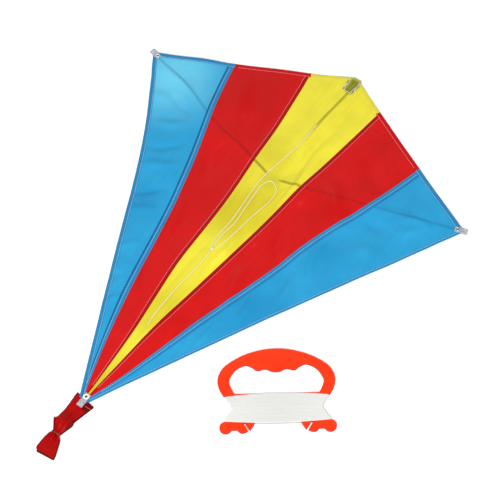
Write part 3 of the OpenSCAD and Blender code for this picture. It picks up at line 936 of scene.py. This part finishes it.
def add_half(side):
    word = WINGS[side]
    wing = {}
    for kind in ("yellow", "red", "blue"):
        grid = gore_grid(kind, side)
        grid[..., 0] *= side
        gore = shell(f"{word}_{kind}_cloth", drape(grid), cloth_t, M[kind], grid)
        wing[kind] = [gore, flat_area(grid)]
        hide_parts(f"{word}_{kind}_gore")
    extra = {"yellow": [], "red": [], "blue": []}

    tops = [nose_half, yellow_top_x, red_top_x, tip[0]]
    ends = dict(zip(extra, zip(tops, tops[1:])))
    hem = {
        "yellow": (5.0, "yellow_double", "cream_thread", [4.2]),
        "red": (6.5, "red_hem", "pink_thread", [5.6]),
        "blue": (6.5, "blue_double", "blue_thread", [5.6]),
    }
    for kind, (low, high) in ends.items():
        width, colour, thread, rows = hem[kind]
        path = straight(leading_point(low), leading_point(high), 0.003)
        extra[kind] += hem_along(
            f"{word}_{kind}_leading", path, width, colour, thread, side, rows, -1)
    width = {-1: 6.0, 1: 4.0}[side]
    path = trailing_point(side, np.linspace(0, 1, 190))
    extra["blue"] += hem_along(
        f"{word}_trailing", path, width, "blue_double", "blue_thread", side, [width - 1.2], -1)

    for kind in ("blue", "red"):
        extra[kind] += seam_pieces(kind, side)

    for kind, (gore, area) in wing.items():
        for piece in [gore, *extra[kind]]:
            if kind == "blue" and "stitches" not in piece.name:
                punch(piece, (tip_eyelet[0] * side, tip_eyelet[1]), tip_barrel)
            if "stitches" not in piece.name:
                punch(piece, tail_eyelet, tail_barrel)
            hinge(piece)


for half in (-1, 1):
    add_half(half)

# ---------------------------------------------------------------- clear tubes, eyelets and the nose pocket


def flat_ring(half_width, half_height, squareness):
    """Points of a rounded cross-section as (sideways, upwards)."""
    power, count = 2 / squareness, 28
    ring = []
    for k in range(count):
        turn = 2 * math.pi * (k + 0.5) / count
        c, s = math.cos(turn), math.sin(turn)
        ring.append((
            math.copysign(abs(c) ** power, c) * half_width, math.copysign(abs(s) ** power, s) * half_height))
    return ring


def folded_tube(name, centre, outward, stations, material):
    """A clear tube that runs outward from its open mouth, is pressed flat and folds back over the corner.
    Each station is (distance outward, height, half width, half height, squareness), in millimetres."""
    out = np.array([math.cos(outward), math.sin(outward), 0])
    side = np.array([-out[1], out[0], 0])
    places = np.array([[a, z] for a, z, *_ in stations], float)
    ahead = headings(places)
    rings = []
    for (a, z, wide, high, square), step in zip(stations, ahead):
        normal = out * -step[1] + np.array([0, 0, step[0]])
        middle = np.array([*centre, 0]) + (out * a + np.array([0, 0, z])) * MM
        rings.append([middle + (side * s + normal * u) * MM for s, u in flat_ring(wide, high, square)])
    return loft(name, rings, material)


rod_z = 3
bore = 1.62


def corner_stations(inner, outer, mouth):
    """Where the tube of a corner runs: bore, sleeve behind the sail, flat tab, fold and flat tab in front."""
    sleeve_length, sleeve, half_width, flat, fold_z, bend = 20, 2.98, 4.15, 3.6, 6.4, 0.9
    behind_z, front_z = fold_z - bend, fold_z + bend
    end = mouth + sleeve_length
    runs = [
        (-mouth - 2.2, bore * 0.6), (-mouth - 2.6, bore), (-end + 0.3, bore), (-end, bore + 0.25),
        (-end, 2.7), (-end + 0.4, sleeve), *((-end + sleeve_length * k / 4, sleeve) for k in (1, 2, 3)),
    ]
    stations = [(place, rod_z, radius, radius, 2) for place, radius in runs]
    for t in np.linspace(0, 1, 7):
        ease = t * t * (3 - 2 * t)
        stations.append((
            -mouth + (mouth - inner) * t, rod_z + (behind_z - rod_z) * ease,
            sleeve + (half_width - sleeve) * ease, sleeve - 2.33 * ease, 2 + 1.6 * ease))
    fold = outer - bend - 0.7
    for t in (0.35, 0.7, 1.0):
        stations.append((-inner + (fold + inner) * t, behind_z, half_width, 0.62, flat))
    for k in range(1, 8):
        turn = math.pi * k / 8
        height = fold_z - bend * math.cos(turn)
        stations.append((fold + bend * math.sin(turn), height, half_width, 0.6, flat))
    for t in (0.0, 0.3, 0.6, 0.9, 0.97):
        stations.append((fold - (fold + inner) * t, front_z, half_width, 0.64, flat))
    stations.append((-inner, front_z, half_width * 0.97, 0.4, 3.0))
    return stations


def lathe(name, profile, centre, material):
    """A round piece from a closed profile of (radius, height), in millimetres."""
    rings = []
    for c, s in circle(48):
        rings.append([(centre[0] + r * MM * c, centre[1] + r * MM * s, z * MM) for r, z in profile])
    return loft(name, rings, material, closed=True)


def eyelet_profile(hole, rim):
    """Barrel, throat and rolled rim of an eyelet."""
    wall, foot, top = hole + 0.4, 4.25, 8.0
    points = [(hole, foot), (hole, top - 0.1)]
    roll = (rim - hole) / 2
    middle = hole + roll
    for k in range(9):
        turn = math.pi * (1 - k / 8)
        points.append((middle + roll * math.cos(turn), top + 0.02 + 0.72 * math.sin(turn)))
    points += [(rim - 0.25, top), (wall, top), (wall, foot)]
    return points


barrel_wall = 0.42


def washer_profile(hole, rim):
    """A thin ring that is turned over the barrel's end behind the sail."""
    wall, front, back = hole + barrel_wall, 4.78, 4.2
    return [
        (wall, front), (rim, front), (rim, 4.5), (rim - 0.3, 4.28), (wall + 0.5, back), (wall, back + 0.1)]


def add_fitting(word, centre, outward, body, sizes, metal):
    """The clear tube of a corner, with its eyelet and the ring behind it."""
    inner, outer, mouth, hole, rim = sizes
    stations = corner_stations(inner, outer, mouth)
    tube = folded_tube(f"{word}_clear_tube", centre, outward, stations, M["vinyl"])
    punch(tube, centre, (hole + barrel_wall) * MM)
    fix(tube, body, f"{word}_tube")
    ring = lathe(f"{word}_rolled_eyelet", eyelet_profile(hole, rim), centre, M[metal])
    dark_barrel(ring, centre, hole)
    fix(ring, body, f"{word}_eyelet")
    back = lathe(f"{word}_back_ring", washer_profile(hole, rim), centre, M[metal])
    fix(back, body, f"{word}_washer")


def dark_barrel(ring, centre, hole):
    """The inside of an eyelet's barrel, which little light reaches, gets a dark material: painted shade."""
    inside, rim_z = (hole + 0.12) * MM, 8.1 * MM
    ring.data.materials.append(M["barrel_painted_shade"])
    for face in ring.data.polygons:
        reach = math.hypot(face.center.x - centre[0], face.center.y - centre[1])
        if reach < inside and face.center.z < rim_z:
            face.material_index = 1


# Each fitting's tube reaches inwards, outwards and back to its mouth, and its eyelet has a hole and a rim
tip_sizes = (4, 14, 6, 1.3, 3.0)
tail_sizes = (5, 16, 10, 1.9, 4.1)


def add_fittings():
    for side, word in WINGS.items():
        centre = (side * tip_eyelet[0], tip_eyelet[1])
        outward = sweep if side > 0 else math.pi - sweep
        add_fitting(f"{word}_tip", centre, outward, f"{word}_wing", tip_sizes, "steel")
    add_fitting(
        "tail", tuple(tail_eyelet), -math.pi / 2, "frame", tail_sizes, "cream_metal")


def add_nose_pocket():
    """A wide clear tube over the spine's front end, folded over the nose and sewn down in front."""
    low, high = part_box("nose_pocket")
    front, back = high.y / MM, low.y / MM
    aside, set_back = 2.1, 4.2
    stations = [(back + on, rod_z, r, r, 2) for on, r in ((20, 1.0), (19.6, bore), (0.4, bore))]
    stations += [(back, 3, 2.2, 2.0, 2.2), (back, 3.05, 4.6, 2.5, 2.6), (back + 0.5, 3.05, 5.3, 2.9, 2.8)]
    stations += [(back + k, 3.05, 5.4, 2.95, 2.8) for k in (5, 10, 15, 19)]
    stations += [(front - 2.4, 3.3, 6.2, 2.6, 3), (front - 1.6, 4.0, 7.2, 1.6, 3.2)]
    for k in range(1, 7):
        turn = math.pi * k / 7
        place, height = front - 1.4 + 1.1 * math.sin(turn), 6.0 - 1.5 * math.cos(turn)
        stations.append((place, height, 7.2 - 0.14 * k, 0.5, 3.4))
    for t in np.linspace(0, 1, 17):
        dome = math.sin(math.pi * min(1, t * 1.1))
        corner = max(0, 1 - t / 0.3) ** 2 + max(0, (t - 0.78) / 0.22) ** 2
        y = front - 1.8 - (front - 2.0 - back + set_back) * t
        stations.append((y, 7.6 + 0.5 * dome, 9.0 * (1 - 0.3 * corner), 0.45 + 0.35 * dome, 3.2))
    pocket = folded_tube("nose_clear_pocket", (aside * MM, 0), math.pi / 2, stations, M["nose_vinyl"])
    fix(pocket, "frame", "nose_pocket")
    for side, word in WINGS.items():
        rings = []
        for t in np.linspace(0, 1, 22):
            x = aside + side * (8.2 - 0.4 * math.sin(t * 5))
            y = front - 5.5 - (front - 7.5 - back + set_back) * t
            reach = 0.75 * math.sin(math.pi * min(1, 0.06 + t * 0.94)) ** 0.3
            rings.append([
                ((x + reach * c) * MM, y * MM, (8.15 + reach * 0.7 * s) * MM) for c, s in circle(10)])
        fix(loft(f"nose_pocket_{word}_weld", rings, M["weld"]), "frame")
    mouth = []
    for t in np.linspace(-0.5, 0.5, 26):
        dip = 0.3 * math.cos(t * math.pi)
        mouth.append(((aside + 13.2 * t) * MM, (back + 1.0 - set_back) * MM, (7.75 + dip) * MM))
    fix(tube_curve("nose_pocket_mouth_bead", mouth, 0.9 * MM, M["weld"]), "frame")


add_fittings()
add_nose_pocket()

# ---------------------------------------------------------------- spars, casing and ties


def add_spars():
    for node, material in (
        ("spine_rod", "rod"), ("left_spreader_rod", "rod"), ("right_spreader_rod", "rod"),
        ("cross_joint", "rubber"), ("left_joint_arm", "rubber"), ("right_joint_arm", "rubber"),
    ):
        piece = frame["nodes"][node]
        piece.data.materials.clear()
        piece.data.materials.append(M[material])
        for index in range(len(piece.material_slots)):
            piece.material_slots[index].material = M[material]
    add_ties()
    add_casing()


def add_ties():
    """The turns of line that tie each bridle leg round the spine."""
    reach, turns, span, count = 2.12, 2.5, 3.4, 64
    sail_front, sail_back = 7.2, 6
    for word, y in (("upper", upper_route[0][1]), ("lower", lower_route[-1][1])):
        start = y - span / 2
        points = [(0, start, sail_front), (0, start, sail_back)]
        for t in np.linspace(0, 1, count):
            turn = 2 * math.pi * turns * t + math.pi / 2
            points.append((reach * math.cos(turn), start + span * t, rod_z + reach * math.sin(turn)))
        tie = tube_curve(f"{word}_tie_turns", np.array(points) * MM, 1.1 * MM, M["line"])
        fix(tie, "frame", f"{word}_bridle_tie")


def add_casing():
    """The cloth tunnel that holds the spine behind the sail, open at the joint and at the bridle ties."""
    half_width, columns, sewn_z, depth, rod_reach, wrinkle = 6.2, 21, 6.05, 4.55, 2.9, 0.12
    x = np.linspace(-half_width, half_width, columns)[None]
    hang = sewn_z - depth * np.exp(-((np.abs(x) / rod_reach) ** 3.2))
    for number, (start, end) in enumerate([(178, 113), (103, 36), (-36, -276), (-286, -376)]):
        y = np.linspace(start, end, max(8, int((start - end) / 4)))[:, None]
        slack = wrinkle * np.sin(y / 3.1 + x / half_width * 2) * np.exp(-((x / 3) ** 2))
        grid = np.stack(np.broadcast_arrays(x, y, hang + slack), -1) * MM
        name = f"spine_casing_{number}"
        part = shell(name, grid, 0.22 * MM, M["yellow_double"], grid[..., :2])
        fix(part, "frame", *(["spine_casing"] if number == 0 else []))


add_spars()

# ---------------------------------------------------------------- tail


ribbon_thickness = 0.3 * MM


def ribbon_sheet(name, spine_line, edges, material, ripple, slant):
    """A folded ribbon. spine_line is a list of (y, z), edges gives (left x, right x) at a place along it,
    ripple its rise there, and slant how far its right end is in front of its left end."""
    across = 41
    line = np.asarray(spine_line, float)
    walked = distances(line)
    grid = np.zeros((len(line), across, 3))
    flat = np.zeros((len(line), across, 2))
    for i, (y, z) in enumerate(line):
        left, right = edges(i, y)
        for j in range(across):
            t = j / (across - 1)
            rise = ripple(i, y, t)
            grid[i, j] = ((left + (right - left) * t) * MM, (y + slant(y) * (t - 0.5)) * MM, (z + rise) * MM)
            flat[i, j] = (t * ribbon_width, walked[i] * MM)
    piece = shell(name, grid, ribbon_thickness, material, flat, folded=True)
    return piece, walked[-1] * MM


ribbon_top = -414.9
bow_top, bow_end = -457.8, -507.5
waist, waist_half = (0.5, -476.5), 4.7


def from_waist(y):
    """Whether y is in front of the waist, and its share of the way from there to that end of the bow."""
    front = y > waist[1]
    return front, (y - waist[1]) / ((bow_top if front else bow_end) - waist[1])


def bow_half_width(y):
    """Half width of the gathered bow at y, in millimetres."""
    front, t = from_waist(y)
    if front:
        return waist_half + 8.1 * t
    return waist_half + 9.4 * max(t, 0.0) ** 0.45 * min(1, 0.6 + t * 3) - 0.9 * max(0, t - 0.9) / 0.1


def bow_slant(y):
    """How far the bow's right edge is in front of its left edge at y, in millimetres."""
    front, t = from_waist(y)
    return 7.0 * t if front else 2.4 * min(1, t)


def bow_centre(y):
    front, t = from_waist(y)
    return waist[0] + (-2.9 if front else 6.3) * t


def gather(y):
    """1 at the waist, falling to 0 at the ends."""
    reach = 11.0 if y > waist[1] else 15.0
    return math.exp(-(((y - waist[1]) / reach) ** 2))


def pleats(y, t, height):
    """How far the gathers raise the ribbon at y, t of the way across it."""
    return height * gather(y) * math.cos(2 * math.pi * 2.5 * t + 0.4)


def add_bow():
    """The ribbon's lower end: five layers folded to and fro, and gathered at the waist."""
    layers, steps, middle_z = 5, 26, 4.5
    line, marks = [], []

    def gap_and_height(k, y):
        gap = 1.75 - 1.15 * gather(y)
        return gap, middle_z + (k - (layers - 1) / 2) * gap

    for k in range(layers):
        ys = np.linspace(bow_top + 0.3 * k, bow_end + (0.7 * k if k < 4 else 1.0), steps)
        if k % 2:
            ys = ys[::-1]
        line += [(y, gap_and_height(k, y)[1]) for y in ys]
        if k < layers - 1:
            gap, base = gap_and_height(k, ys[-1])
            out = 1 if k % 2 else -1
            for turn in np.linspace(0, math.pi, 7)[1:-1]:
                line.append((ys[-1] + out * gap / 2 * math.sin(turn), base + gap / 2 * (1 - math.cos(turn))))
        marks += [k] * (len(line) - len(marks))

    def edges(i, y):
        spread = 1 + 0.02 * (marks[i] - 2)
        half = bow_half_width(min(max(y, bow_end), bow_top)) * spread
        centre = bow_centre(y)
        return centre - half, centre + half

    def ripple(i, y, t):
        wide = math.cos(math.pi * (t - 0.5) * 2)
        cup = 0.5 * (1 - gather(y)) * (wide * 0.5) * (1 if marks[i] == layers - 1 else 0.3)
        return pleats(y, t, 1.3) + cup

    bow, length = ribbon_sheet("tail_bow_folds", line, edges, M["ribbon"], ripple, bow_slant)
    fix(bow, "tail", "tail_bow")


def add_ribbon():
    """The ribbon's upper end: its back layer, a fold at the top, and its front layer down to the waist."""
    back_end, back_z, bend, flat_rows, first_upper, bow_meets = -457.5, 0.45, 1.45, 20, 24, -456
    fold = ribbon_top - 2.0
    line = [(y, back_z) for y in np.linspace(back_end, fold, flat_rows)]
    for turn in np.linspace(0, math.pi, 11)[1:]:
        line.append((fold + bend * math.sin(turn), back_z + bend * (1 - math.cos(turn))))
    upper = [
        (-417, 3.6), (-420, 3.85), (-424, 3.6), (-429, 3.3), (-435, 3.0), (-441, 3.4), (-446, 4.8),
        (-450, 6.8), (-454, 8.6), (-458, 9.5), (-463, 9.4), (-468, 8.6), (-472, 7.9), (-475, 7.5),
    ]
    line += [tuple(p) for p in smooth_route(upper, 4)]

    def edges(i, y):
        t = max(0, (ribbon_top - y) / (ribbon_top - bow_meets))
        left, right = -15 + 3.4 * t, 15.5 - 8.6 * t
        if y > bow_meets or i < first_upper:
            return left, right
        half = bow_half_width(max(y, waist[1])) * 0.97
        centre = bow_centre(y)
        mix = min(1, (bow_meets - y) / 8)
        return left + (centre - half - left) * mix, right + (centre + half - right) * mix

    def ripple(i, y, t):
        if i < flat_rows:
            return 0.0
        open_side = (0.4 * (t - 0.4) + 1.5 * max(0, t - 0.6) ** 2) * max(0, 1 - (ribbon_top - y) / 22)
        wave = 0.35 * math.sin(t * 5 + y / 6) * min(1, max(0, (-424 - y) / 15))
        return open_side + wave + pleats(y, t, 1.2)

    def slant(y):
        return -5.6 * max(0.0, 1 - (ribbon_top - y) / 25)

    ribbon, length = ribbon_sheet("tail_ribbon_fold", line, edges, M["ribbon_top"], ripple, slant)
    fix(ribbon, "tail", "tail_ribbon")
    thread = [(x * MM, (-424 + 0.25 * math.sin(x)) * MM, (4.32 + 0.02 * (x - 6)) * MM) for x in range(6, 17)]
    tie = tube_curve("tail_tie_thread", np.array(thread), 0.5 * MM, M["pink_thread"])
    fix(tie, "tail", "tail_tie")


def add_band():
    """A thin rubber band, wound three times round the waist, with a slack loop of it on the left."""
    per_turn, turns, half_wide, half_high, middle_z = 32, 3, 5.0, 3.75, 4.6
    points = []
    for k in range(turns * per_turn + 1):
        turn = 2 * math.pi * k / per_turn
        c, s = math.cos(turn), math.sin(turn)
        points.append((
            waist[0] + math.copysign(abs(c) ** 0.75, c) * half_wide,
            waist[1] - 1.25 + 2.5 * k / (turns * per_turn) + 0.25 * math.sin(turn * 0.5),
            middle_z + math.copysign(abs(s) ** 0.75, s) * half_high,
        ))
    band = tube_curve("rubber_band_turns", np.array(points) * MM, 1.0 * MM, M["band"])
    fix(band, "tail", "tail_band")
    loop = []
    for turn in np.linspace(0, 2 * math.pi, 15):
        loop.append((
            waist[0] - 5.6 - 1.1 * (1 - math.cos(turn)) / 2, waist[1] + 0.9 * math.sin(turn),
            5.6 + 0.6 * math.sin(turn / 2)))
    fix(tube_curve("rubber_band_loop", np.array(loop) * MM, 0.9 * MM, M["band"]), "tail")


add_ribbon()
add_bow()
add_band()

# ---------------------------------------------------------------- winder and its line

winder_angle = math.radians(37)
winder_place = next(joint["pos_m"][:2] for joint in frame["joints"] if joint["name"] == "winder_lift")


def from_winder(x, y, z):
    """A point of the winder's own layout, in millimetres, in the row frame."""
    c, s = math.cos(winder_angle), math.sin(winder_angle)
    return (winder_place[0] + (x * c - y * s) * MM, winder_place[1] + (x * s + y * c) * MM, z * MM)


def add_winder():
    """The CAD plate with moulded, rounded rims, and a darker red of painted shade on its side walls."""
    edge_round, flat_enough = 1.1 * MM, 0.96
    piece = link("winder_moulding", frame["nodes"]["winder_plate"].data.copy())
    work = bmesh.new()
    work.from_mesh(piece.data)
    bmesh.ops.remove_doubles(work, verts=work.verts, dist=2e-5)
    bmesh.ops.dissolve_limit(work, angle_limit=math.radians(3), verts=work.verts, edges=work.edges)
    rims = [
        e for e in work.edges if len(e.link_faces) == 2
        and abs(e.link_faces[0].normal.z - e.link_faces[1].normal.z) > 0.7
    ]
    bmesh.ops.bevel(
        work, geom=rims, offset=edge_round, segments=4, profile=0.6, affect="EDGES", clamp_overlap=True)
    work.to_mesh(piece.data)
    work.free()
    piece.data.materials.clear()
    for material in ("plastic", "plastic_painted_shade"):
        piece.data.materials.append(M[material])
    piece.data.polygons.foreach_set("use_smooth", [True] * len(piece.data.polygons))
    # side walls take the darker red: painted shade
    for face in piece.data.polygons:
        face.material_index = 0 if abs(face.normal.z) > flat_enough else 1
    piece.data.set_sharp_from_angle(angle=math.radians(35))
    fix(piece, "winder", "winder_plate")


line_diameter = 0.66
turns_per_layer = 56
spool_span = (-8.8, -43.2)


def notch_reach(y):
    """Half length of the V-sided spool at y, in millimetres."""
    return 57.6 + 9.2 * min(1, abs(y + 24.6) / 15.8) ** 1.25


def add_flying_line():
    """Turns of line round the plate: the first layer runs down the spool, and the second one back up."""
    low, high = (corner.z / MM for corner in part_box("winder_plate"))
    middle = (low + high) / 2
    corner = 2.2
    rounding = (0.35, 0.75, 1.15, 1.57, 2.0, 2.4, 2.8)
    path = []
    for layer, way in ((0, 1), (1, -1)):
        lift = line_diameter * (0.56 + 0.92 * layer)
        half = (high - low) / 2 + lift
        pitch = (spool_span[1] - spool_span[0]) / turns_per_layer * way
        for k in range(turns_per_layer):
            share = k / (turns_per_layer - 1)
            if layer:
                share = 1 - share
            y = spool_span[0] + (spool_span[1] - spool_span[0]) * share + 0.05 * math.sin(k * 2.3 + layer)
            bow = 4.2 - 7.2 * share
            reach = notch_reach(y) + lift
            for hand, first, last in ((1, 0.0, 0.25), (-1, 0.3, 0.6)):
                for step in range(9):
                    x = hand * (2 * step / 8 - 1) * (reach - corner)
                    arch = bow * (1 - (x / reach) ** 2)
                    path.append((x, y + arch + pitch * (first + step / 40), middle + hand * half))
                for turn in rounding:
                    x = hand * (reach - corner + corner * math.sin(turn))
                    path.append((x, y + pitch * last, middle + hand * half * math.cos(turn)))
    points = np.array([from_winder(*p) for p in path])
    line = tube_curve("flying_line_turns", points, line_diameter * MM, M["flying_line"])
    line.data.bevel_resolution = 1
    fix(line, "winder", "wound_line")


add_winder()
add_flying_line()

# ---------------------------------------------------------------- stage


def area_light(name, place, target, size, power):
    data = bpy.data.lights.new(name, "AREA")
    data.shape = "SQUARE"
    data.size = size
    data.energy = power
    lamp = link(name, data)
    lamp.location = place
    lamp.rotation_euler = (Vector(place) - Vector(target)).to_track_quat("Z", "Y").to_euler()


def add_stage():
    scene = bpy.context.scene
    scene.view_settings.view_transform = "Standard"
    world = bpy.data.worlds.new("studio")
    world.use_nodes = True
    background = world.node_tree.nodes["Background"]
    background.inputs["Color"].default_value = (1, 1, 1, 1)
    background.inputs["Strength"].default_value = 0.55
    scene.world = world
    area_light("key", (1.0, -1.9, 2.5), (0, -0.1, 0), 0.9, 112)
    area_light("rim", (-1.5, 1.6, 2.6), (-0.1, 0.0, 0), 0.8, 7)
    bpy.ops.mesh.primitive_plane_add(size=14, location=(0, 0, -0.0002))
    floor = bpy.context.object
    floor.name = "floor"
    floor.data.materials.append(
        plain_noise_material("pale floor", srgb(250, 250, 250), srgb(254, 254, 254), 0.9, 3, 0.02))


add_stage()
